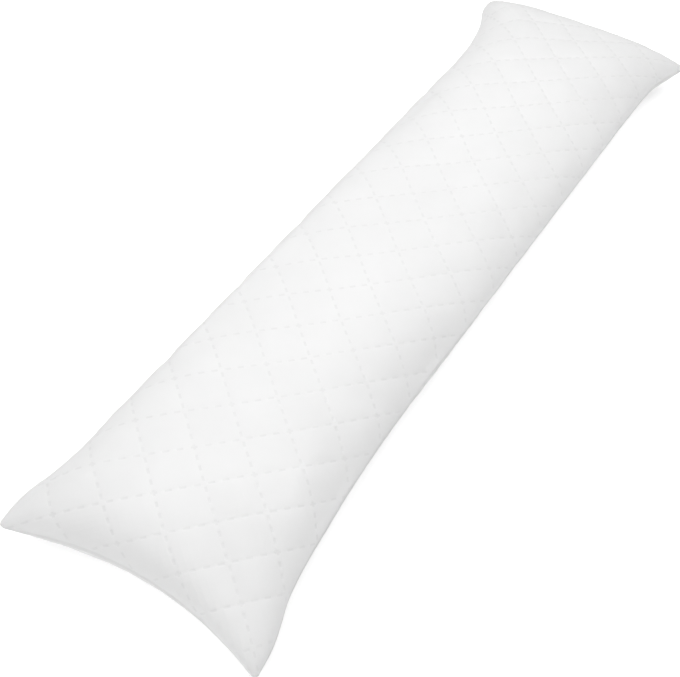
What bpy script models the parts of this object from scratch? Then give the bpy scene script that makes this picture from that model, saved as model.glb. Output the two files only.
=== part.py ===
"""Body pillow: one long, filled pillow in a cover of diamond-quilted cloth, lying on its back.

An upper and a lower panel meet in a plain turned seam that runs once round the edge. The filling
pushes both panels out, so the seam is drawn in between four pointed corners, and the pillow's own
weight presses the lower panel flat where it lies. X runs across the pillow, Y along it, and Z up.
"""

from collections import namedtuple

import bpy
import numpy as np

# Driving dimensions, in metres.
LENGTH = 1.760  # corner tip to corner tip, along the pillow; the sections below give its width
SEAM_HEIGHT = 0.078  # the edge seam above the floor, along the sides
CROWN = 0.094  # rise of the upper panel above the seam
BELLY = 0.094  # depth of the lower panel below the seam, before the floor presses it flat

# How full the pillow is: a higher power holds the height nearer to the edge.
CROWN_ACROSS = 2.55
CROWN_ALONG = 8.2
SIDE_FULLNESS = 0.57
END_FULLNESS = 0.44
CORNER_REACH = 8.0  # how closely the droop of a corner keeps to that corner

# The seam in plan. Each row gives the half widths at one station, a share of the half length.
Section = namedtuple("Section", "station left right")
SECTIONS = (
    Section(station=-1.00, left=0.250, right=0.250),
    Section(station=-0.94, left=0.246, right=0.247),
    Section(station=-0.85, left=0.222, right=0.226),
    Section(station=-0.70, left=0.214, right=0.212),
    Section(station=-0.50, left=0.209, right=0.202),
    Section(station=-0.20, left=0.205, right=0.204),
    Section(station=0.20, left=0.199, right=0.208),
    Section(station=0.50, left=0.195, right=0.212),
    Section(station=0.72, left=0.195, right=0.215),
    Section(station=0.86, left=0.219, right=0.221),
    Section(station=0.94, left=0.245, right=0.237),
    Section(station=1.00, left=0.250, right=0.250),
)

# Each end is drawn in between its two corners, deepest a little to one side of the middle.
End = namedtuple("End", "hollow lean")
NEAR_END = End(hollow=0.037, lean=0.18)
FAR_END = End(hollow=0.037, lean=0.10)

# How far each corner's tip droops below the height of the seam.
Corner = namedtuple("Corner", "across along droop")
CORNERS = (
    Corner(across=-1, along=-1, droop=0.027),
    Corner(across=1, along=-1, droop=0.038),
    Corner(across=1, along=1, droop=0.026),
    Corner(across=-1, along=1, droop=0.012),
)

# Soft troughs in the upper panel, and ridges where the depth is negative. The reach is measured
# across and along each one; turn is the direction it runs in, in degrees from +Y towards +X.
Crease = namedtuple("Crease", "across along half_width half_length turn depth")
CREASES = (
    Crease(across=-0.189, along=-0.801, half_width=0.046, half_length=0.029, turn=-48, depth=0.0044),
    Crease(across=-0.163, along=-0.369, half_width=0.023, half_length=0.119, turn=2, depth=-0.0025),
    Crease(across=-0.163, along=-0.226, half_width=0.020, half_length=0.185, turn=1, depth=-0.0044),
    Crease(across=-0.153, along=-0.002, half_width=0.026, half_length=0.190, turn=-1, depth=-0.0039),
    Crease(across=-0.060, along=0.216, half_width=0.060, half_length=0.110, turn=59, depth=0.0033),
    Crease(across=-0.100, along=0.702, half_width=0.027, half_length=0.132, turn=-42, depth=-0.0040),
    Crease(across=0.043, along=0.729, half_width=0.059, half_length=0.088, turn=81, depth=0.0044),
    Crease(across=0.206, along=0.206, half_width=0.049, half_length=0.200, turn=-5, depth=-0.0066),
    Crease(across=0.189, along=-0.033, half_width=0.053, half_length=0.091, turn=-38, depth=-0.0051),
    Crease(across=0.202, along=-0.251, half_width=0.039, half_length=0.082, turn=16, depth=0.0058),
    Crease(across=0.217, along=-0.587, half_width=0.060, half_length=0.162, turn=-41, depth=0.0053),
    Crease(across=0.107, along=-0.681, half_width=0.059, half_length=0.031, turn=21, depth=-0.0044),
    Crease(across=0.152, along=-0.798, half_width=0.036, half_length=0.081, turn=-61, depth=0.0064),
    Crease(across=-0.034, along=0.072, half_width=0.057, half_length=0.198, turn=26, depth=0.0043),
    Crease(across=0.095, along=-0.378, half_width=0.058, half_length=0.032, turn=38, depth=-0.0022),
    Crease(across=0.213, along=0.523, half_width=0.020, half_length=0.177, turn=1, depth=-0.0063),
)

# The quilting: two sets of channels that cross the cloth as long rows of diamonds.
DIAMOND_ACROSS = 0.1125
DIAMOND_ALONG = 0.101
PHASE_RISING = 0.61  # where the channels fall, as shares of a diamond
PHASE_FALLING = 0.20
ROW_BOW = 0.50  # how far the filling bows the rows of diamonds, per metre
CHANNEL_DEPTH = 0.0035
CHANNEL_HALF_WIDTH = 0.013
CHANNEL_FADE = 0.020  # channels fade out over this height, at the seam and at the floor

# The mesh: one grid for each panel, with its rows closer together near the seam.
CELLS_ACROSS = 30
CELLS_ALONG = 96

PILLOW_COLOUR = (0.87, 0.87, 0.87, 1.0)
PILLOW_ROUGHNESS = 0.9


def clear_scene():
    for item in list(bpy.data.objects):
        bpy.data.objects.remove(item, do_unlink=True)


def white_cloth():
    material = bpy.data.materials.new("quilted_white_cloth")
    material.use_nodes = True
    shader = material.node_tree.nodes["Principled BSDF"]
    shader.inputs["Base Color"].default_value = PILLOW_COLOUR
    shader.inputs["Roughness"].default_value = PILLOW_ROUGHNESS
    shader.inputs["Metallic"].default_value = 0.0
    return material


def smooth_between(stations, values, where):
    """A smooth curve through the values at the stations, read at each place in where."""
    stations = np.asarray(stations)
    values = np.asarray(values)
    slopes = np.gradient(values, stations)
    left = np.clip(np.searchsorted(stations, where) - 1, 0, len(stations) - 2)
    step = stations[left + 1] - stations[left]
    share = (where - stations[left]) / step
    ease = share * share * (3 - 2 * share)
    bend_in = share * (1 - share) ** 2 * step * slopes[left]
    bend_out = share * share * (share - 1) * step * slopes[left + 1]
    return values[left] * (1 - ease) + values[left + 1] * ease + bend_in + bend_out


def seam_plan(across, along):
    """The pillow seen from above. Across and along run from -1 to 1 between the seams."""
    stations = [row.station for row in SECTIONS]
    left = smooth_between(stations, [row.left for row in SECTIONS], along)
    right = smooth_between(stations, [row.right for row in SECTIONS], along)
    x = across * np.where(across < 0, left, right)
    hollow = np.where(along < 0, NEAR_END.hollow, FAR_END.hollow)
    lean = np.where(along < 0, NEAR_END.lean, FAR_END.lean)
    y = along * (LENGTH / 2 - hollow * (1 - across**2) * (1 + lean * across))
    return x, y


def seam_height(across, along):
    """The seam's height, level along the sides and drooping into each corner."""
    height = np.full(across.shape, SEAM_HEIGHT)
    reach = across**2 * np.abs(along) ** CORNER_REACH
    for corner in CORNERS:
        share = (1 + corner.across * across) * (1 + corner.along * along) / 4
        height -= corner.droop * share * reach
    return height


def filled_height(across, along):
    """The shape that the filling gives a panel, from 0 at the seam to 1 on the crown."""
    side = np.maximum(1 - np.abs(across) ** CROWN_ACROSS, 0) ** SIDE_FULLNESS
    end = np.maximum(1 - np.abs(along) ** CROWN_ALONG, 0) ** END_FULLNESS
    return side * end


def crease_depth(x, y):
    """The depth of the creases under each point of the plan."""
    depth = np.zeros(x.shape)
    for crease in CREASES:
        turn = np.radians(crease.turn)
        run = (x - crease.across) * np.sin(turn) + (y - crease.along) * np.cos(turn)
        side = (x - crease.across) * np.cos(turn) - (y - crease.along) * np.sin(turn)
        reach = (run / crease.half_length) ** 2 + (side / crease.half_width) ** 2
        depth += crease.depth * np.exp(-reach)
    return depth


def distance_over_cloth(points, axis):
    """The distance over the cloth along one direction of the grid, from the grid's middle."""
    steps = np.linalg.norm(np.diff(points, axis=axis), axis=2)
    distance = np.insert(np.cumsum(steps, axis=axis), 0, 0.0, axis=axis)
    middle = distance.shape[axis] // 2
    return distance - np.take(distance, [middle], axis=axis)


def channel_depth(points):
    """The depth of the quilting channels at each point of a panel."""
    across = distance_over_cloth(points, 1) / DIAMOND_ACROSS
    along = (distance_over_cloth(points, 0) - ROW_BOW * (across * DIAMOND_ACROSS) ** 2) / DIAMOND_ALONG
    spacing = 1 / np.hypot(1 / DIAMOND_ACROSS, 1 / DIAMOND_ALONG)
    flat = np.ones(across.shape)
    for row in (PHASE_RISING + along + across, PHASE_FALLING + along - across):
        gap = np.abs(row - np.round(row)) * spacing
        flat *= 1 - np.exp(-((gap / CHANNEL_HALF_WIDTH) ** 2))
    return CHANNEL_DEPTH * (1 - flat)


def outward(points):
    """The outward direction at each point of the upper panel's grid."""
    normal = np.cross(np.gradient(points, axis=1), np.gradient(points, axis=0))
    length = np.linalg.norm(normal, axis=2, keepdims=True)
    return normal / np.maximum(length, 1e-12)


def panel_points(across, along, side):
    """One panel's grid of points: side is 1 for the upper panel and -1 for the lower."""
    x, y = seam_plan(across, along)
    seam = seam_height(across, along)
    filled = filled_height(across, along)
    swell = CROWN if side > 0 else -BELLY
    points = np.stack([x, y, seam + swell * filled], axis=2)
    inward = -side * outward(points)
    from_seam = np.clip(np.abs(swell) * filled / CHANNEL_FADE, 0, 1)
    depth = channel_depth(points)
    if side > 0:
        depth = depth + crease_depth(x, y)
    else:
        depth *= np.clip(points[:, :, 2] / CHANNEL_FADE, 0, 1)
    points += inward * (depth * from_seam)[:, :, None]
    points[:, :, 2] = np.maximum(points[:, :, 2], 0)
    return points


def closer_at_ends(cells):
    """Places from -1 to 1 that lie closer together near both ends."""
    even = np.linspace(-1, 1, cells + 1)
    return 0.55 * np.sin(even * np.pi / 2) + 0.45 * even


def pillow_mesh():
    across, along = np.meshgrid(closer_at_ends(CELLS_ACROSS), closer_at_ends(CELLS_ALONG))
    rows, columns = across.shape
    on_seam = (np.abs(across) > 1 - 1e-9) | (np.abs(along) > 1 - 1e-9)
    upper = panel_points(across, along, 1)
    lower = panel_points(across, along, -1)
    upper_index = np.arange(rows * columns).reshape(rows, columns)
    lower_index = upper_index.copy()
    lower_index[~on_seam] = rows * columns + np.arange(np.count_nonzero(~on_seam))
    points = np.concatenate([upper.reshape(-1, 3), lower[~on_seam]])
    faces = []
    for row in range(rows - 1):
        for column in range(columns - 1):
            near = (row, column), (row, column + 1)
            far = (row + 1, column + 1), (row + 1, column)
            faces.append([int(upper_index[place]) for place in near + far])
            faces.append([int(lower_index[place]) for place in reversed(near + far)])
    mesh = bpy.data.meshes.new("body_pillow")
    mesh.from_pydata(points.tolist(), [], faces)
    mesh.validate()
    mesh.shade_smooth()
    return mesh


def build():
    clear_scene()
    pillow = bpy.data.objects.new("body_pillow", pillow_mesh())
    pillow.data.materials.append(white_cloth())
    bpy.context.scene.collection.objects.link(pillow)


build()
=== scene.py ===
"""Body pillow: one long, filled pillow in a cover of diamond-quilted cloth."""

from collections import namedtuple

import bpy
import numpy as np
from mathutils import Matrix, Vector


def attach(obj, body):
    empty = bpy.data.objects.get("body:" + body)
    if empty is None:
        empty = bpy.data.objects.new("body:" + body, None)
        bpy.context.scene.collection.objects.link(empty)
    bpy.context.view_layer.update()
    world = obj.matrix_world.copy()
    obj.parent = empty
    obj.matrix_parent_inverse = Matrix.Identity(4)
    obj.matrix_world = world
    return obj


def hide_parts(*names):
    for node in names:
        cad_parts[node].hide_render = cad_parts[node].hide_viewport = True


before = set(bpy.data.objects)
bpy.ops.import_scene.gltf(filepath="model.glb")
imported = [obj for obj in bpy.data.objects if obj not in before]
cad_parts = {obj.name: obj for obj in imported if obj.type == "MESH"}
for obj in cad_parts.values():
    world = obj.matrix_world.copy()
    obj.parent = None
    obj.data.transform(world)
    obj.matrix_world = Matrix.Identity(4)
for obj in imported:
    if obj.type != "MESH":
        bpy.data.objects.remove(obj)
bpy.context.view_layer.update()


# The filled cover: an upper and a lower panel of white quilted cloth, cut alike and sewn together
# round the edge, then stuffed with fibre. The filling crowns both panels and draws the seam in
# between the four corners, and the pillow's weight presses the lower panel flat.

# The swelling above and below the seam is in metres, and the powers and fullnesses say how squarely
# it comes down to the sides and the ends.
LENGTH = 1.760
SEAM_HEIGHT = 0.078
CROWN = 0.094
BELLY = 0.094
CROWN_ACROSS = 2.55
CROWN_ALONG = 8.2
SIDE_FULLNESS = 0.57
END_FULLNESS = 0.44
CORNER_REACH = 8.0

# The half widths, in metres, at stations along the pillow: -1 is the near end and 1 the far end.
Section = namedtuple("Section", "station left right")
SECTIONS = (
    Section(station=-1.00, left=0.250, right=0.250),
    Section(station=-0.94, left=0.246, right=0.247),
    Section(station=-0.85, left=0.222, right=0.226),
    Section(station=-0.70, left=0.214, right=0.212),
    Section(station=-0.50, left=0.209, right=0.202),
    Section(station=-0.20, left=0.205, right=0.204),
    Section(station=0.20, left=0.199, right=0.208),
    Section(station=0.50, left=0.195, right=0.212),
    Section(station=0.72, left=0.195, right=0.215),
    Section(station=0.86, left=0.219, right=0.221),
    Section(station=0.94, left=0.245, right=0.237),
    Section(station=1.00, left=0.250, right=0.250),
)

# How far the middle of each end is drawn in, in metres, and how much more so on the right.
End = namedtuple("End", "hollow lean")
NEAR_END = End(hollow=0.037, lean=0.18)
FAR_END = End(hollow=0.037, lean=0.10)

# How far each corner's tip hangs below the height of the seam.
Corner = namedtuple("Corner", "across along droop")
CORNERS = (
    Corner(across=-1, along=-1, droop=0.027),
    Corner(across=1, along=-1, droop=0.038),
    Corner(across=1, along=1, droop=0.026),
    Corner(across=-1, along=1, droop=0.012),
)

# Soft troughs in the upper panel, and ridges where the depth is negative. The turn is in degrees.
Crease = namedtuple("Crease", "across along half_width half_length turn depth")
CREASES = (
    Crease(across=-0.189, along=-0.801, half_width=0.046, half_length=0.029, turn=-48, depth=0.0044),
    Crease(across=-0.163, along=-0.369, half_width=0.023, half_length=0.119, turn=2, depth=-0.0025),
    Crease(across=-0.163, along=-0.226, half_width=0.020, half_length=0.185, turn=1, depth=-0.0044),
    Crease(across=-0.153, along=-0.002, half_width=0.026, half_length=0.190, turn=-1, depth=-0.0039),
    Crease(across=-0.060, along=0.216, half_width=0.060, half_length=0.110, turn=59, depth=0.0033),
    Crease(across=-0.100, along=0.702, half_width=0.027, half_length=0.132, turn=-42, depth=-0.0040),
    Crease(across=0.043, along=0.729, half_width=0.059, half_length=0.088, turn=81, depth=0.0044),
    Crease(across=0.206, along=0.206, half_width=0.049, half_length=0.200, turn=-5, depth=-0.0066),
    Crease(across=0.189, along=-0.033, half_width=0.053, half_length=0.091, turn=-38, depth=-0.0051),
    Crease(across=0.202, along=-0.251, half_width=0.039, half_length=0.082, turn=16, depth=0.0058),
    Crease(across=0.217, along=-0.587, half_width=0.060, half_length=0.162, turn=-41, depth=0.0053),
    Crease(across=0.107, along=-0.681, half_width=0.059, half_length=0.031, turn=21, depth=-0.0044),
    Crease(across=0.152, along=-0.798, half_width=0.036, half_length=0.081, turn=-61, depth=0.0064),
    Crease(across=-0.034, along=0.072, half_width=0.057, half_length=0.198, turn=26, depth=0.0043),
    Crease(across=0.095, along=-0.378, half_width=0.058, half_length=0.032, turn=38, depth=-0.0022),
    Crease(across=0.213, along=0.523, half_width=0.020, half_length=0.177, turn=1, depth=-0.0063),
)

# Smaller tucks and gathers beside the seams and in the corners, told in the same way.
TUCKS = (
    Crease(across=-0.174, along=0.674, half_width=0.017, half_length=0.055, turn=-14, depth=0.0025),
    Crease(across=-0.161, along=0.759, half_width=0.025, half_length=0.052, turn=-44, depth=-0.0040),
    Crease(across=-0.183, along=0.792, half_width=0.020, half_length=0.093, turn=-81, depth=-0.0038),
    Crease(across=-0.156, along=0.339, half_width=0.015, half_length=0.064, turn=0, depth=0.0040),
    Crease(across=-0.139, along=-0.764, half_width=0.034, half_length=0.056, turn=64, depth=-0.0040),
    Crease(across=-0.170, along=-0.408, half_width=0.015, half_length=0.099, turn=2, depth=-0.0040),
    Crease(across=-0.234, along=-0.862, half_width=0.015, half_length=0.100, turn=20, depth=0.0032),
    Crease(across=-0.089, along=-0.841, half_width=0.032, half_length=0.086, turn=78, depth=0.0040),
    Crease(across=0.211, along=-0.865, half_width=0.034, half_length=0.100, turn=-78, depth=-0.0040),
    Crease(across=0.235, along=-0.874, half_width=0.013, half_length=0.062, turn=-83, depth=-0.0040),
    Crease(across=0.158, along=-0.605, half_width=0.030, half_length=0.075, turn=-12, depth=-0.0045),
)

# The quilting: two sets of rows cross the cloth as diamonds. Each row is a line of short dashes
# pressed through the layers, seven dashes to two diamonds, so the rows cross in turn at a dash
# and at a gap.
DIAMOND_ACROSS = 0.1125
DIAMOND_ALONG = 0.101
PHASE_RISING = 0.61
PHASE_FALLING = 0.20
ROW_BOW = 0.50
ROW_SPACING = 1 / np.hypot(1 / DIAMOND_ACROSS, 1 / DIAMOND_ALONG)
DASH_PITCH = 2 / 7  # as a share of a diamond's side
DASH_WIDTH = 0.0042
DASH_WALL = 0.0006
DASH_DEPTH = 0.0002
CHANNEL_DEPTH = 0.0009
CHANNEL_HALF_WIDTH = 0.011

# The filling pulls the quilting out of true. Each row shifts it over the cloth, in metres, by this
# power of the share of the way across and this power of the share of the way along.
Drift = namedtuple("Drift", "across_power along_power across along")
DRIFTS = (
    Drift(across_power=0, along_power=0, across=-0.0097, along=0.0076),
    Drift(across_power=1, along_power=0, across=0.0038, along=0.0177),
    Drift(across_power=2, along_power=0, across=0.0275, along=-0.0140),
    Drift(across_power=3, along_power=0, across=-0.0109, along=-0.0299),
    Drift(across_power=0, along_power=1, across=0.0011, along=0.0),
    Drift(across_power=0, along_power=3, across=0.0315, along=0.0),
    Drift(across_power=0, along_power=4, across=0.0077, along=0.0),
    Drift(across_power=0, along_power=5, across=-0.0469, along=0.0145),
    Drift(across_power=1, along_power=1, across=0.0, along=0.0336),
    Drift(across_power=1, along_power=3, across=0.0080, along=0.0),
    Drift(across_power=3, along_power=1, across=0.0, along=-0.0270),
    Drift(across_power=3, along_power=2, across=0.0, along=0.0063),
    Drift(across_power=2, along_power=3, across=0.0, along=-0.0275),
)

# The seam: a narrow valley where the two panels turn in to their stitches.
# Each band beside it lies at these shares of the way out, across and along, and this deep.
Band = namedtuple("Band", "across along valley")
BANDS = (
    Band(across=0.957, along=0.9890, valley=0.0),
    Band(across=0.980, along=0.9950, valley=0.0002),
    Band(across=0.994, along=0.9985, valley=0.0009),
    Band(across=1.000, along=1.0000, valley=0.0016),
)
SEAM_FADE = 0.020  # within this height of the seam or the floor, quilting and creases die away

# The tips are rounded toward this place inside each corner, in metres from the middle.
TIP_AIM_ACROSS = 0.10
TIP_AIM_ALONG = 0.60
TIP_START = 0.012
TIP_SOFTENING = 0.007
TIP_REACH = 0.05

# The laid-out grid is made this much larger than the cloth, in metres, then cut roughly to these
# shares of the way out, and last to the seam's bands.
SPARE_ACROSS = 0.09
SPARE_ALONG = 0.12
TRIM_ACROSS = 1.3
TRIM_ALONG = 1.2
ROWS_EACH_WAY = 13
CLOSEST_POINTS = 2e-4  # as a share of the way out: points closer than this become one
SHORTEST_EDGE = 1e-4
SAME_PLACE = 1e-6

# Nearer the seam than these shares of the way out, the outward direction is held.
STEADY_ACROSS = 0.98
STEADY_ALONG = 0.995

# The wrinkles: the even grid and the frames they are simulated with, the height below which the
# cloth is held on the floor, how much of the wrinkles is kept, and the most that the cloth may swell.
# What is smooth over this many points of the grid isn't a wrinkle.
WRINKLE_COLUMNS = 57
WRINKLE_ROWS = 191
SMOOTH_POINTS = (6, 4)
HELD_HEIGHT = 0.004
SIMULATED_FRAMES = 20
WRINKLE_SHARE = 0.5
MOST_SWELLING = 0.012


def smooth_between(stations, values, where):
    """A smooth curve through the values at the stations, read at each place in where."""
    stations = np.asarray(stations)
    values = np.asarray(values)
    slopes = np.gradient(values, stations)
    left = np.clip(np.searchsorted(stations, where) - 1, 0, len(stations) - 2)
    step = stations[left + 1] - stations[left]
    share = (where - stations[left]) / step
    ease = share * share * (3 - 2 * share)
    bend_in = share * (1 - share) ** 2 * step * slopes[left]
    bend_out = share * share * (share - 1) * step * slopes[left + 1]
    return values[left] * (1 - ease) + values[left + 1] * ease + bend_in + bend_out


def seam_height(across, along):
    """The seam's height above the floor, level along the sides and drooping into each corner."""
    height = np.full(across.shape, SEAM_HEIGHT)
    reach = across**2 * np.abs(along) ** CORNER_REACH
    for corner in CORNERS:
        share = (1 + corner.across * across) * (1 + corner.along * along) / 4
        height -= corner.droop * share * reach
    return height


def smooth_panel(across, along, side):
    """A panel swollen by the filling, with no quilting: side is 1 for the upper one, else -1."""
    stations = [row.station for row in SECTIONS]
    left = smooth_between(stations, [row.left for row in SECTIONS], along)
    right = smooth_between(stations, [row.right for row in SECTIONS], along)
    x = across * np.where(across < 0, left, right)
    hollow = np.where(along < 0, NEAR_END.hollow, FAR_END.hollow)
    lean = np.where(along < 0, NEAR_END.lean, FAR_END.lean)
    y = along * (LENGTH / 2 - hollow * (1 - across**2) * (1 + lean * across))
    round_side = np.maximum(1 - np.abs(across) ** CROWN_ACROSS, 0) ** SIDE_FULLNESS
    round_end = np.maximum(1 - np.abs(along) ** CROWN_ALONG, 0) ** END_FULLNESS
    swell = CROWN if side > 0 else -BELLY
    z = seam_height(across, along) + swell * round_side * round_end
    return np.stack([x, y, z], axis=-1)


def distance_over_cloth(points, axis):
    """The distance over the cloth along one direction of a grid, from the grid's middle."""
    steps = np.linalg.norm(np.diff(points, axis=axis), axis=2)
    distance = np.insert(np.cumsum(steps, axis=axis), 0, 0.0, axis=axis)
    middle = distance.shape[axis] // 2
    return distance - np.take(distance, [middle], axis=axis)


def outward(points):
    """The outward direction at each point of an upper panel's grid."""
    normal = np.cross(np.gradient(points, axis=1), np.gradient(points, axis=0))
    length = np.linalg.norm(normal, axis=2, keepdims=True)
    return normal / np.maximum(length, 1e-12)


# The cloth is laid out on a square whose edges, at -1 and 1, are the seam. This grid of places
# gives the swollen panel, its outward direction and the distances over the cloth.
spread_p, spread_q = np.meshgrid(np.linspace(-1, 1, 121), np.linspace(-1, 1, 481))
share_across = np.sin(spread_p * np.pi / 2)
share_along = np.sin(spread_q * np.pi / 2)
panel_grid = smooth_panel(share_across, share_along, 1)
cloth_across = distance_over_cloth(panel_grid, 1)
cloth_along = distance_over_cloth(panel_grid, 0)
for row in DRIFTS:
    shift = share_across**row.across_power * share_along**row.along_power
    cloth_across += row.across * shift
    cloth_along += row.along * shift
# A little more cloth at the tips, so that no two places there share their distances.
TIP_EASE_ACROSS = 0.004
TIP_EASE_ALONG = 0.010
cloth_across += TIP_EASE_ACROSS * spread_p * spread_p**8 * spread_q**6
cloth_along += TIP_EASE_ALONG * spread_q * spread_q**16 * spread_p**4

# Past the seam the rows run on evenly: this much cloth for each share of the way.
BEYOND_ACROSS = 0.25
BEYOND_ALONG = 0.50


def read(values, p, q):
    """A grid's values at the places p, q, carried on in line beyond its edges."""
    column = (p + 1) / 2 * (values.shape[1] - 1)
    row = (q + 1) / 2 * (values.shape[0] - 1)
    left = np.clip(np.floor(column).astype(int), 0, values.shape[1] - 2)
    near = np.clip(np.floor(row).astype(int), 0, values.shape[0] - 2)
    x = (column - left).reshape(column.shape + (1,) * (values.ndim - 2))
    y = (row - near).reshape(row.shape + (1,) * (values.ndim - 2))
    nearer = values[near, left] * (1 - x) + values[near, left + 1] * x
    farther = values[near + 1, left] * (1 - x) + values[near + 1, left + 1] * x
    return nearer * (1 - y) + farther * y


def distances_at(p, q):
    """The distances over the cloth at the places p, q, and a little beyond the seam."""
    inner_p = np.clip(p, -1, 1)
    inner_q = np.clip(q, -1, 1)
    across = read(cloth_across, inner_p, inner_q) + BEYOND_ACROSS * (p - inner_p)
    along = read(cloth_along, inner_p, inner_q) + BEYOND_ALONG * (q - inner_q)
    return across, along


# The search for a place on the cloth. It starts from a rough distance to the seam, goes a share of
# the way to the target at each step, and never looks farther out than the farthest place.
ROUGH_ACROSS = 0.25
ROUGH_ALONG = 0.90
FARTHEST_START = 1.1
FARTHEST_PLACE = 1.6
SEARCH_STEPS = 24
STEP_SHARE = 0.8
LONGEST_STEP = 0.1
PROBE = 1e-3
LEAST_CLOTH = 0.005


def place_on_cloth(across, along):
    """The places p, q that lie at these distances over the cloth, found step by step."""
    p = np.clip(across / ROUGH_ACROSS, -FARTHEST_START, FARTHEST_START)
    q = np.clip(along / ROUGH_ALONG, -FARTHEST_START, FARTHEST_START)
    for _ in range(SEARCH_STEPS):
        at_across, at_along = distances_at(p, q)
        more_p = distances_at(p + PROBE, q)
        more_q = distances_at(p, q + PROBE)
        miss_across = across - at_across
        miss_along = along - at_along
        across_by_p = (more_p[0] - at_across) / PROBE
        along_by_p = (more_p[1] - at_along) / PROBE
        across_by_q = (more_q[0] - at_across) / PROBE
        along_by_q = (more_q[1] - at_along) / PROBE
        covered = np.maximum(across_by_p * along_by_q - across_by_q * along_by_p, LEAST_CLOTH)
        p_step = (along_by_q * miss_across - across_by_q * miss_along) / covered
        q_step = (across_by_p * miss_along - along_by_p * miss_across) / covered
        p = p + np.clip(STEP_SHARE * p_step, -LONGEST_STEP, LONGEST_STEP)
        q = q + np.clip(STEP_SHARE * q_step, -LONGEST_STEP, LONGEST_STEP)
        p = np.clip(p, -FARTHEST_PLACE, FARTHEST_PLACE)
        q = np.clip(q, -FARTHEST_PLACE, FARTHEST_PLACE)
    return p, q


def rows_at(p, q):
    """How many rising and falling rows of quilting lie before each place, as shares of a diamond."""
    across, along = distances_at(p, q)
    along = (along - ROW_BOW * across**2) / DIAMOND_ALONG
    across = across / DIAMOND_ACROSS
    return PHASE_RISING + along + across, PHASE_FALLING + along - across


def in_dash(row, run, half_width, half_length):
    """Whether a place lies on a dash: row is counted across the row of dashes, run along it."""
    nearest = np.round(row)
    beside = np.abs(row - nearest) * ROW_SPACING
    past = (run - nearest + DASH_PITCH / 2) % DASH_PITCH - DASH_PITCH / 2
    return (beside < half_width) & (np.abs(past) < half_length)


def quilting_depth(rising, falling):
    """How far the quilting draws the cloth in: soft channels, with the dashes pressed into them."""
    puffed = np.ones(rising.shape)
    for row in (rising, falling):
        gap = np.abs(row - np.round(row)) * ROW_SPACING
        puffed *= 1 - np.exp(-((gap / CHANNEL_HALF_WIDTH) ** 2))
    half_width = (DASH_WIDTH + DASH_WALL) / 2
    half_length = DASH_PITCH / 4
    pressed = in_dash(rising, falling, half_width, half_length)
    pressed |= in_dash(falling, rising, half_width, half_length)
    return CHANNEL_DEPTH * (1 - puffed) + DASH_DEPTH * pressed


def crease_depth(x, y):
    """The depth of the creases under each point of the plan."""
    depth = np.zeros(x.shape)
    for crease in CREASES + TUCKS:
        turn = np.radians(crease.turn)
        run = (x - crease.across) * np.sin(turn) + (y - crease.along) * np.cos(turn)
        side = (x - crease.across) * np.cos(turn) - (y - crease.along) * np.sin(turn)
        reach = (run / crease.half_length) ** 2 + (side / crease.half_width) ** 2
        depth += crease.depth * np.exp(-reach)
    return depth


def make_trial_cover(columns, rows):
    """A plain cover for the simulation: two even grids, welded at the seam.

    Its height tells the panels apart: 0 on the seam, 1 on the upper panel and -1 on the lower one.
    """
    bpy.ops.object.select_all(action="DESELECT")
    bpy.ops.mesh.primitive_grid_add(x_subdivisions=columns, y_subdivisions=rows, size=2)
    trial = bpy.context.object
    trial.name = "trial_cover"
    bpy.ops.object.mode_set(mode="EDIT")
    bpy.ops.mesh.select_mode(type="EDGE")
    bpy.ops.mesh.select_all(action="SELECT")
    bpy.ops.transform.translate(value=(0, 0, 1))
    bpy.ops.mesh.select_all(action="DESELECT")
    bpy.ops.mesh.select_non_manifold(extend=False)
    bpy.ops.transform.resize(value=(1, 1, 0), center_override=(0, 0, 0))
    bpy.ops.mesh.select_all(action="SELECT")
    bpy.ops.mesh.duplicate()
    bpy.ops.transform.resize(value=(1, 1, -1), center_override=(0, 0, 0))
    bpy.ops.mesh.select_all(action="DESELECT")
    bpy.ops.mesh.select_non_manifold(extend=False)
    bpy.ops.mesh.remove_doubles(threshold=SAME_PLACE)
    bpy.ops.mesh.select_all(action="SELECT")
    bpy.ops.mesh.normals_make_consistent(inside=False)
    bpy.ops.object.mode_set(mode="OBJECT")
    return trial


def blurred(values, reach):
    """The smooth part of a grid: a bell-shaped average, this many points wide each way."""
    for axis in (0, 1):
        span = 3 * reach[axis]
        bell = np.exp(-((np.arange(-span, span + 1) / reach[axis]) ** 2) / 2)
        border = [(0, 0), (0, 0)]
        border[axis] = (span, span)
        spread = np.pad(values, border, mode="edge")
        values = np.apply_along_axis(np.convolve, axis, spread, bell / bell.sum(), "valid")
    return values


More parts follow.
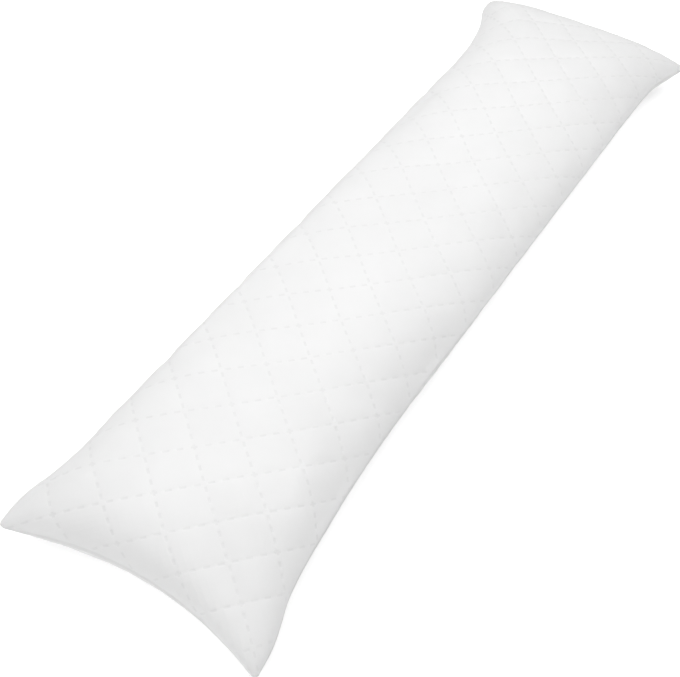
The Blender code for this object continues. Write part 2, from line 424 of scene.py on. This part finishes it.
def simulated_wrinkles(columns, rows):
    """How far the cloth stands out in wrinkles on each panel, at an even grid of places.

    The cover is simulated as cloth under the filling's pressure, held at its seam and where it lies
    on the floor. Only the wrinkles are kept, not the swelling, as the form already has its crown.
    """
    trial = make_trial_cover(columns, rows)
    count = len(trial.data.vertices)
    places = np.empty(count * 3)
    trial.data.vertices.foreach_get("co", places)
    p, q, layer = places.reshape(-1, 3).T
    across = np.sin(p * np.pi / 2)
    along = np.sin(q * np.pi / 2)
    upper = layer > -0.5
    form = np.where(upper[:, None], smooth_panel(across, along, 1), smooth_panel(across, along, -1))
    form[:, 2] = np.maximum(form[:, 2], 0)
    trial.data.vertices.foreach_set("co", form.ravel())
    trial.data.update()
    held = trial.vertex_groups.new(name="held")
    held_points = (np.abs(layer) < 0.5) | (form[:, 2] < HELD_HEIGHT)
    held.add(np.flatnonzero(held_points).tolist(), 1.0, "REPLACE")

    cloth = trial.modifiers.new("filling", "CLOTH")
    cloth.settings.quality = 6
    cloth.settings.mass = 0.3
    cloth.settings.tension_stiffness = 15
    cloth.settings.compression_stiffness = 15
    cloth.settings.shear_stiffness = 5
    cloth.settings.bending_stiffness = 8
    cloth.settings.use_pressure = True
    cloth.settings.uniform_pressure_force = 4
    cloth.settings.shrink_min = -0.003
    cloth.settings.vertex_group_mass = "held"
    cloth.settings.effector_weights.gravity = 0
    cloth.collision_settings.use_collision = False
    cloth.collision_settings.use_self_collision = False
    cloth.point_cache.frame_start = 1
    cloth.point_cache.frame_end = SIMULATED_FRAMES
    for moment in range(1, SIMULATED_FRAMES + 1):
        bpy.context.scene.frame_set(moment)
    bpy.context.view_layer.objects.active = trial
    trial.select_set(True)
    bpy.ops.object.modifier_apply(modifier=cloth.name)
    bpy.context.scene.frame_set(1)
    moved = np.empty(count * 3)
    trial.data.vertices.foreach_get("co", moved)
    move = moved.reshape(-1, 3) - form

    column = np.round((p + 1) / 2 * columns).astype(int)
    row = np.round((q + 1) / 2 * rows).astype(int)
    wrinkles = []
    for side, panel in ((1, layer > -0.5), (-1, layer < 0.5)):
        points = np.zeros((rows + 1, columns + 1, 3))
        moves = np.zeros((rows + 1, columns + 1, 3))
        points[row[panel], column[panel]] = form[panel]
        moves[row[panel], column[panel]] = move[panel]
        swelling = side * (moves * outward(points)).sum(axis=2)
        swelling = np.clip(swelling, -MOST_SWELLING, MOST_SWELLING)
        wrinkles.append(swelling - blurred(swelling, SMOOTH_POINTS))
    bpy.data.objects.remove(trial)
    return wrinkles


def make_cloth_mesh():
    """Both panels laid out flat on the square, cut along the rows of quilting, and joined at the seam.

    A grid whose lines run along the rows and across the ends of the dashes is trimmed to the square,
    bordered by bands that run along the seam, and doubled for the lower panel. Its height is 1 on
    the upper panel, 0 on the seam and -1 on the lower panel.
    """
    wall = DASH_WALL / ROW_SPACING / 2
    edge = DASH_WIDTH / ROW_SPACING / 2
    dash_sides = np.array([-edge - 2 * wall, -edge, edge, edge + 2 * wall])
    # Seven dash ends to a side of a diamond, from half a side before a crossing to half a side after.
    dash_ends = (np.arange(-4, 3) + 0.5) * DASH_PITCH / 2
    stops = np.sort(np.concatenate([dash_sides, dash_ends - wall, dash_ends + wall]))
    lines = (np.arange(-ROWS_EACH_WAY, ROWS_EACH_WAY + 1)[:, None] + stops).ravel()
    bpy.ops.object.select_all(action="DESELECT")
    bpy.ops.mesh.primitive_grid_add(x_subdivisions=len(lines) - 1, y_subdivisions=len(lines) - 1, size=2)
    cloth = bpy.context.object
    cloth.name = "quilted_cover"
    cloth.data.name = "quilted_cover"
    places = np.empty(len(cloth.data.vertices) * 3)
    cloth.data.vertices.foreach_get("co", places)
    places = places.reshape(-1, 3)
    count = len(lines) - 1
    rising = lines[np.round((places[:, 0] + 1) / 2 * count).astype(int)]
    falling = lines[np.round((places[:, 1] + 1) / 2 * count).astype(int)]
    across = DIAMOND_ACROSS * ((rising - PHASE_RISING) - (falling - PHASE_FALLING)) / 2
    along = DIAMOND_ALONG * ((rising - PHASE_RISING) + (falling - PHASE_FALLING)) / 2
    along += ROW_BOW * across**2
    beyond = np.abs(across) > cloth_across.max() + SPARE_ACROSS
    beyond |= np.abs(along) > cloth_along.max() + SPARE_ALONG
    p, q = place_on_cloth(np.where(beyond, 0, across), np.where(beyond, 0, along))
    outside = beyond | (np.abs(p) > TRIM_ACROSS) | (np.abs(q) > TRIM_ALONG)
    cloth.data.vertices.foreach_set("co", np.stack([p, q, np.ones(p.shape)], axis=1).ravel())
    cloth.data.polygons.foreach_set("select", np.zeros(len(cloth.data.polygons), bool))
    cloth.data.edges.foreach_set("select", np.zeros(len(cloth.data.edges), bool))
    cloth.data.vertices.foreach_set("select", outside)
    bpy.ops.object.mode_set(mode="EDIT")
    bpy.ops.mesh.select_mode(type="VERT")
    bpy.ops.mesh.delete(type="VERT")
    for direction in ((1, 0, 0), (-1, 0, 0), (0, 1, 0), (0, -1, 0)):
        edge_place = (direction[0] * BANDS[0].across, direction[1] * BANDS[0].along, 0)
        bpy.ops.mesh.select_all(action="SELECT")
        bpy.ops.mesh.bisect(
            plane_co=edge_place, plane_no=direction, clear_outer=True, threshold=SAME_PLACE
        )
    bpy.ops.mesh.select_all(action="SELECT")
    bpy.ops.mesh.remove_doubles(threshold=CLOSEST_POINTS)
    bpy.ops.mesh.dissolve_degenerate(threshold=SHORTEST_EDGE)
    bpy.ops.mesh.select_mode(type="EDGE")
    for inner, outer in zip(BANDS, BANDS[1:]):
        bpy.ops.mesh.select_all(action="DESELECT")
        bpy.ops.mesh.select_non_manifold(extend=False)
        bpy.ops.mesh.extrude_edges_move()
        wider = (outer.across / inner.across, outer.along / inner.along, 1)
        bpy.ops.transform.resize(value=wider, center_override=(0, 0, 0))
    bpy.ops.transform.resize(value=(1, 1, 0), center_override=(0, 0, 0))
    bpy.ops.mesh.select_all(action="SELECT")
    bpy.ops.mesh.normals_make_consistent(inside=False)
    bpy.ops.mesh.duplicate()
    bpy.ops.transform.resize(value=(1, 1, -1), center_override=(0, 0, 0))
    bpy.ops.mesh.select_all(action="DESELECT")
    bpy.ops.mesh.select_non_manifold(extend=False)
    bpy.ops.mesh.remove_doubles(threshold=2 * SAME_PLACE)
    bpy.ops.mesh.select_all(action="SELECT")
    bpy.ops.mesh.normals_make_consistent(inside=False)
    bpy.ops.object.mode_set(mode="OBJECT")
    return cloth


def swollen_places(places, wrinkles):
    """Each point of the laid-out cloth, moved to where it lies on the filled pillow."""
    p, q, layer = places.T
    across = np.sin(p * np.pi / 2)
    along = np.sin(q * np.pi / 2)
    upper = layer > -0.5
    swollen = np.where(upper[:, None], smooth_panel(across, along, 1), smooth_panel(across, along, -1))
    steady_p = np.clip(p, -STEADY_ACROSS, STEADY_ACROSS)
    steady_q = np.clip(q, -STEADY_ALONG, STEADY_ALONG)
    faced = read(outward(panel_grid), steady_p, steady_q)
    faced[:, 2] *= np.where(upper, 1, -1)
    on_seam = np.abs(layer) < 0.5
    faced[on_seam, 2] = 0
    faced /= np.linalg.norm(faced, axis=1, keepdims=True)
    height = np.abs(swollen[:, 2] - seam_height(across, along))
    from_seam = np.clip(height / SEAM_FADE, 0, 1)
    depth = quilting_depth(*rows_at(p, q))
    depth = np.where(upper, depth + crease_depth(swollen[:, 0], swollen[:, 1]), depth)
    depth -= WRINKLE_SHARE * np.where(upper, read(wrinkles[0], p, q), read(wrinkles[1], p, q))
    from_floor = np.where(upper, 1, np.clip(swollen[:, 2] / SEAM_FADE, 0, 1))
    depth = depth * from_seam * from_floor
    valleys = [band.valley for band in BANDS]
    valley_across = np.interp(np.abs(p), [band.across for band in BANDS], valleys)
    valley_along = np.interp(np.abs(q), [band.along for band in BANDS], valleys)
    depth += np.maximum(valley_across, valley_along)
    swollen -= faced * depth[:, None]
    return swollen


def soften_tips(points):
    """Rounds the pointed corners, where the turned seams are bulky."""
    for corner in CORNERS:
        tip = smooth_panel(np.array([float(corner.across)]), np.array([float(corner.along)]), 1)[0, :2]
        aim = np.array([corner.across * TIP_AIM_ACROSS, corner.along * TIP_AIM_ALONG])
        direction = (tip - aim) / np.linalg.norm(tip - aim)
        before_tip = (tip - points[:, :2]) @ direction
        past = TIP_START - before_tip
        near = (past > 0) & (np.linalg.norm(points[:, :2] - tip, axis=1) < TIP_REACH)
        kept = TIP_SOFTENING * (1 - np.exp(-past / TIP_SOFTENING))
        shift = np.where(near, kept - past, 0)
        points[:, :2] += shift[:, None] * direction
    return points


cover = make_cloth_mesh()
places = np.empty(len(cover.data.vertices) * 3)
cover.data.vertices.foreach_get("co", places)
places = places.reshape(-1, 3)

# Where each face lies on the cloth, for the run of the weave and for the faces of the dashes.
corner_vertex = np.empty(len(cover.data.loops), int)
cover.data.loops.foreach_get("vertex_index", corner_vertex)
face_start = np.empty(len(cover.data.polygons), int)
face_size = np.empty(len(cover.data.polygons), int)
cover.data.polygons.foreach_get("loop_start", face_start)
cover.data.polygons.foreach_get("loop_total", face_size)
face_sum = np.add.reduceat(places[corner_vertex], face_start, axis=0)
face_middle = face_sum / face_size[:, None]
lower_face = face_middle[:, 2] < 0

weave_run = np.stack(distances_at(places[:, 0], places[:, 1]), axis=1)[corner_vertex]
weave_run[:, 0] += np.repeat(np.where(lower_face, 1.0, 0.0), face_size)
if not cover.data.uv_layers:
    cover.data.uv_layers.new(name="cloth")
run_layer = cover.data.uv_layers[0]
run_layer.name = "cloth"
run_layer.data.foreach_set("uv", weave_run.astype(np.float32).ravel())

rising, falling = rows_at(face_middle[:, 0], face_middle[:, 1])
dash_half_width = DASH_WIDTH / 2
dash_half_length = DASH_PITCH / 4 - DASH_WALL / ROW_SPACING / 2
dash_face = in_dash(rising, falling, dash_half_width, dash_half_length)
dash_face |= in_dash(falling, rising, dash_half_width, dash_half_length)
# The faces in the seam's bands take the seam's darker grey, which is painted shade for the crevice along
# the seam.
seam_painted_shade_face = (np.abs(face_middle[:, 0]) > BANDS[0].across) | (np.abs(face_middle[:, 1]) > BANDS[0].along)
dash_face &= ~seam_painted_shade_face

wrinkles = simulated_wrinkles(WRINKLE_COLUMNS, WRINKLE_ROWS)
filled = soften_tips(swollen_places(places, wrinkles))
filled[:, 2] = np.maximum(filled[:, 2], 0)
cover.data.vertices.foreach_set("co", filled.ravel())
cover.data.polygons.foreach_set("material_index", (dash_face + 2 * seam_painted_shade_face).astype(np.int32))
cover.data.shade_smooth()
cover.data.update()


# The weave: the threads' spacing, and how far they stand up in the cloth and where it is pressed.
THREAD_PITCH = 0.0008
THREAD_HEIGHT = 0.00006
PRESSED_THREAD_HEIGHT = 0.00002


def add_weave(material, thread_height):
    """Raises a fine plain weave on a material, following the cloth's own run. Returns its shader."""
    nodes = material.node_tree.nodes
    links = material.node_tree.links
    shader = nodes["Principled BSDF"]
    run = nodes.new("ShaderNodeUVMap")
    run.uv_map = "cloth"
    threads = nodes.new("ShaderNodeVectorMath")
    threads.operation = "SCALE"
    threads.inputs["Scale"].default_value = np.pi / THREAD_PITCH
    split = nodes.new("ShaderNodeSeparateXYZ")
    warp = nodes.new("ShaderNodeMath")
    warp.operation = "SINE"
    weft = nodes.new("ShaderNodeMath")
    weft.operation = "SINE"
    crossing = nodes.new("ShaderNodeMath")
    crossing.operation = "MULTIPLY"
    raised = nodes.new("ShaderNodeBump")
    raised.inputs["Strength"].default_value = 1.0
    raised.inputs["Distance"].default_value = thread_height
    links.new(run.outputs["UV"], threads.inputs[0])
    links.new(threads.outputs["Vector"], split.inputs["Vector"])
    links.new(split.outputs["X"], warp.inputs[0])
    links.new(split.outputs["Y"], weft.inputs[0])
    links.new(warp.outputs[0], crossing.inputs[0])
    links.new(weft.outputs[0], crossing.inputs[1])
    links.new(crossing.outputs[0], raised.inputs["Height"])
    links.new(raised.outputs["Normal"], shader.inputs["Normal"])
    return shader


def add_unevenness(material, lump_scale, paler, darker):
    """Lets the white drift a little between two greys over the cloth."""
    nodes = material.node_tree.nodes
    links = material.node_tree.links
    place = nodes.new("ShaderNodeTexCoord")
    lumps = nodes.new("ShaderNodeTexNoise")
    lumps.inputs["Scale"].default_value = lump_scale
    lumps.inputs["Detail"].default_value = 3.0
    shade = nodes.new("ShaderNodeValToRGB")
    shade.color_ramp.elements[0].position = 0.35
    shade.color_ramp.elements[0].color = (darker, darker, darker, 1.0)
    shade.color_ramp.elements[1].position = 0.65
    shade.color_ramp.elements[1].color = (paler, paler, paler, 1.0)
    links.new(place.outputs["Object"], lumps.inputs["Vector"])
    links.new(lumps.outputs["Fac"], shade.inputs["Fac"])
    links.new(shade.outputs["Color"], nodes["Principled BSDF"].inputs["Base Color"])


def cloth_material():
    """White woven cloth: a fine plain weave, faintly uneven, with a soft sheen."""
    material = bpy.data.materials.new("quilted_white_cloth")
    material.use_nodes = True
    shader = add_weave(material, THREAD_HEIGHT)
    shader.inputs["Roughness"].default_value = 0.92
    shader.inputs["Specular IOR Level"].default_value = 0.3
    shader.inputs["Sheen Weight"].default_value = 0.08
    shader.inputs["Sheen Roughness"].default_value = 0.5
    add_unevenness(material, lump_scale=9.0, paler=0.810, darker=0.792)
    return material


def dash_material():
    """The same cloth where a hot press has flattened it: smoother and a little darker."""
    material = bpy.data.materials.new("pressed_dash")
    material.use_nodes = True
    shader = add_weave(material, PRESSED_THREAD_HEIGHT)
    shader.inputs["Roughness"].default_value = 0.6
    shader.inputs["Specular IOR Level"].default_value = 0.4
    add_unevenness(material, lump_scale=60.0, paler=0.765, darker=0.748)
    return material


def seam_painted_shade_material():
    """The same cloth turned in along the seam and pulled tight by the stitches. Its darker grey is
    painted shade for the seam's crevice.
    """
    material = bpy.data.materials.new("sewn_seam_painted_shade")
    material.use_nodes = True
    shader = add_weave(material, THREAD_HEIGHT)
    shader.inputs["Roughness"].default_value = 0.9
    shader.inputs["Specular IOR Level"].default_value = 0.3
    # These darker greys are painted shade: the shade in the seam's crevice, put into the colour.
    add_unevenness(material, lump_scale=40.0, paler=0.765, darker=0.745)
    return material


cover.data.materials.append(cloth_material())
cover.data.materials.append(dash_material())
cover.data.materials.append(seam_painted_shade_material())
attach(cover, "root")
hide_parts("body_pillow")


# The floor: a plain white sweep, far wider than the pillow. It glows a little, as a lit paper
# sweep does, so that it stays white round the pillow.
FLOOR_WIDTH = 40
bpy.ops.object.select_all(action="DESELECT")
bpy.ops.mesh.primitive_plane_add(size=FLOOR_WIDTH, location=(0, 0, 0))
floor = bpy.context.object
floor.name = "floor"
floor_material = bpy.data.materials.new("floor_white")
floor_material.use_nodes = True
floor_shader = floor_material.node_tree.nodes["Principled BSDF"]
floor_shader.inputs["Base Color"].default_value = (0.9, 0.9, 0.9, 1.0)
floor_shader.inputs["Roughness"].default_value = 1.0
floor_shader.inputs["Specular IOR Level"].default_value = 0.0
floor_shader.inputs["Emission Color"].default_value = (1.0, 1.0, 1.0, 1.0)
floor_shader.inputs["Emission Strength"].default_value = 0.33
floor.data.materials.append(floor_material)

# The light: broad soft lamps overhead and all round, in a pale room that is brighter low down.
# Each lamp is a square that stands off from the middle of the floor and faces it. Its azimuth, from
# the right, and its elevation are in degrees.
world = bpy.data.worlds.new("pale_room")
bpy.context.scene.world = world
world.use_nodes = True
world_nodes = world.node_tree.nodes
room_direction = world_nodes.new("ShaderNodeTexCoord")
room_height = world_nodes.new("ShaderNodeSeparateXYZ")
room_shade = world_nodes.new("ShaderNodeValToRGB")
room_shade.color_ramp.elements[0].position = 0.0
room_shade.color_ramp.elements[0].color = (0.33, 0.33, 0.33, 1.0)
room_shade.color_ramp.elements[1].position = 0.30
room_shade.color_ramp.elements[1].color = (0.10, 0.10, 0.10, 1.0)
world.node_tree.links.new(room_direction.outputs["Generated"], room_height.inputs["Vector"])
world.node_tree.links.new(room_height.outputs["Z"], room_shade.inputs["Fac"])
world.node_tree.links.new(room_shade.outputs["Color"], world_nodes["Background"].inputs["Color"])
world_nodes["Background"].inputs["Strength"].default_value = 1.0

Lamp = namedtuple("Lamp", "name azimuth elevation distance size power")
LAMPS = (
    Lamp(name="overhead_lamp", azimuth=0, elevation=90, distance=3.0, size=3.0, power=52.5),
    Lamp(name="far_right_lamp", azimuth=45, elevation=50, distance=3.5, size=2.0, power=29.6),
    Lamp(name="far_left_lamp", azimuth=135, elevation=50, distance=3.5, size=2.0, power=24.5),
    Lamp(name="left_lamp", azimuth=180, elevation=50, distance=3.5, size=2.0, power=8.6),
    Lamp(name="near_lamp", azimuth=270, elevation=50, distance=3.5, size=2.0, power=33.5),
    Lamp(name="low_near_lamp", azimuth=270, elevation=20, distance=3.5, size=2.0, power=5.4),
    Lamp(name="near_right_lamp", azimuth=315, elevation=20, distance=3.5, size=2.0, power=2.8),
)
for row in LAMPS:
    turn = np.radians(row.azimuth)
    rise = np.radians(row.elevation)
    toward = Vector((np.cos(turn) * np.cos(rise), np.sin(turn) * np.cos(rise), np.sin(rise)))
    lamp_data = bpy.data.lights.new(row.name, "AREA")
    lamp_data.shape = "SQUARE"
    lamp_data.size = row.size
    lamp_data.energy = row.power
    lamp = bpy.data.objects.new(row.name, lamp_data)
    lamp.location = toward * row.distance
    lamp.rotation_euler = (-toward).to_track_quat("-Z", "Y").to_euler()
    bpy.context.scene.collection.objects.link(lamp)

# The camera, standing at the near right corner and looking down along the pillow.
camera_data = bpy.data.cameras.new("camera")
camera_data.lens = 63.09
camera_data.sensor_width = 36
camera = bpy.data.objects.new("camera", camera_data)
camera.location = (0.770, -1.493, 1.667)
camera.rotation_euler = (np.radians(42.12), 0, np.radians(31.46))
bpy.context.scene.collection.objects.link(camera)
bpy.context.scene.camera = camera
bpy.context.scene.view_settings.view_transform = "Standard"
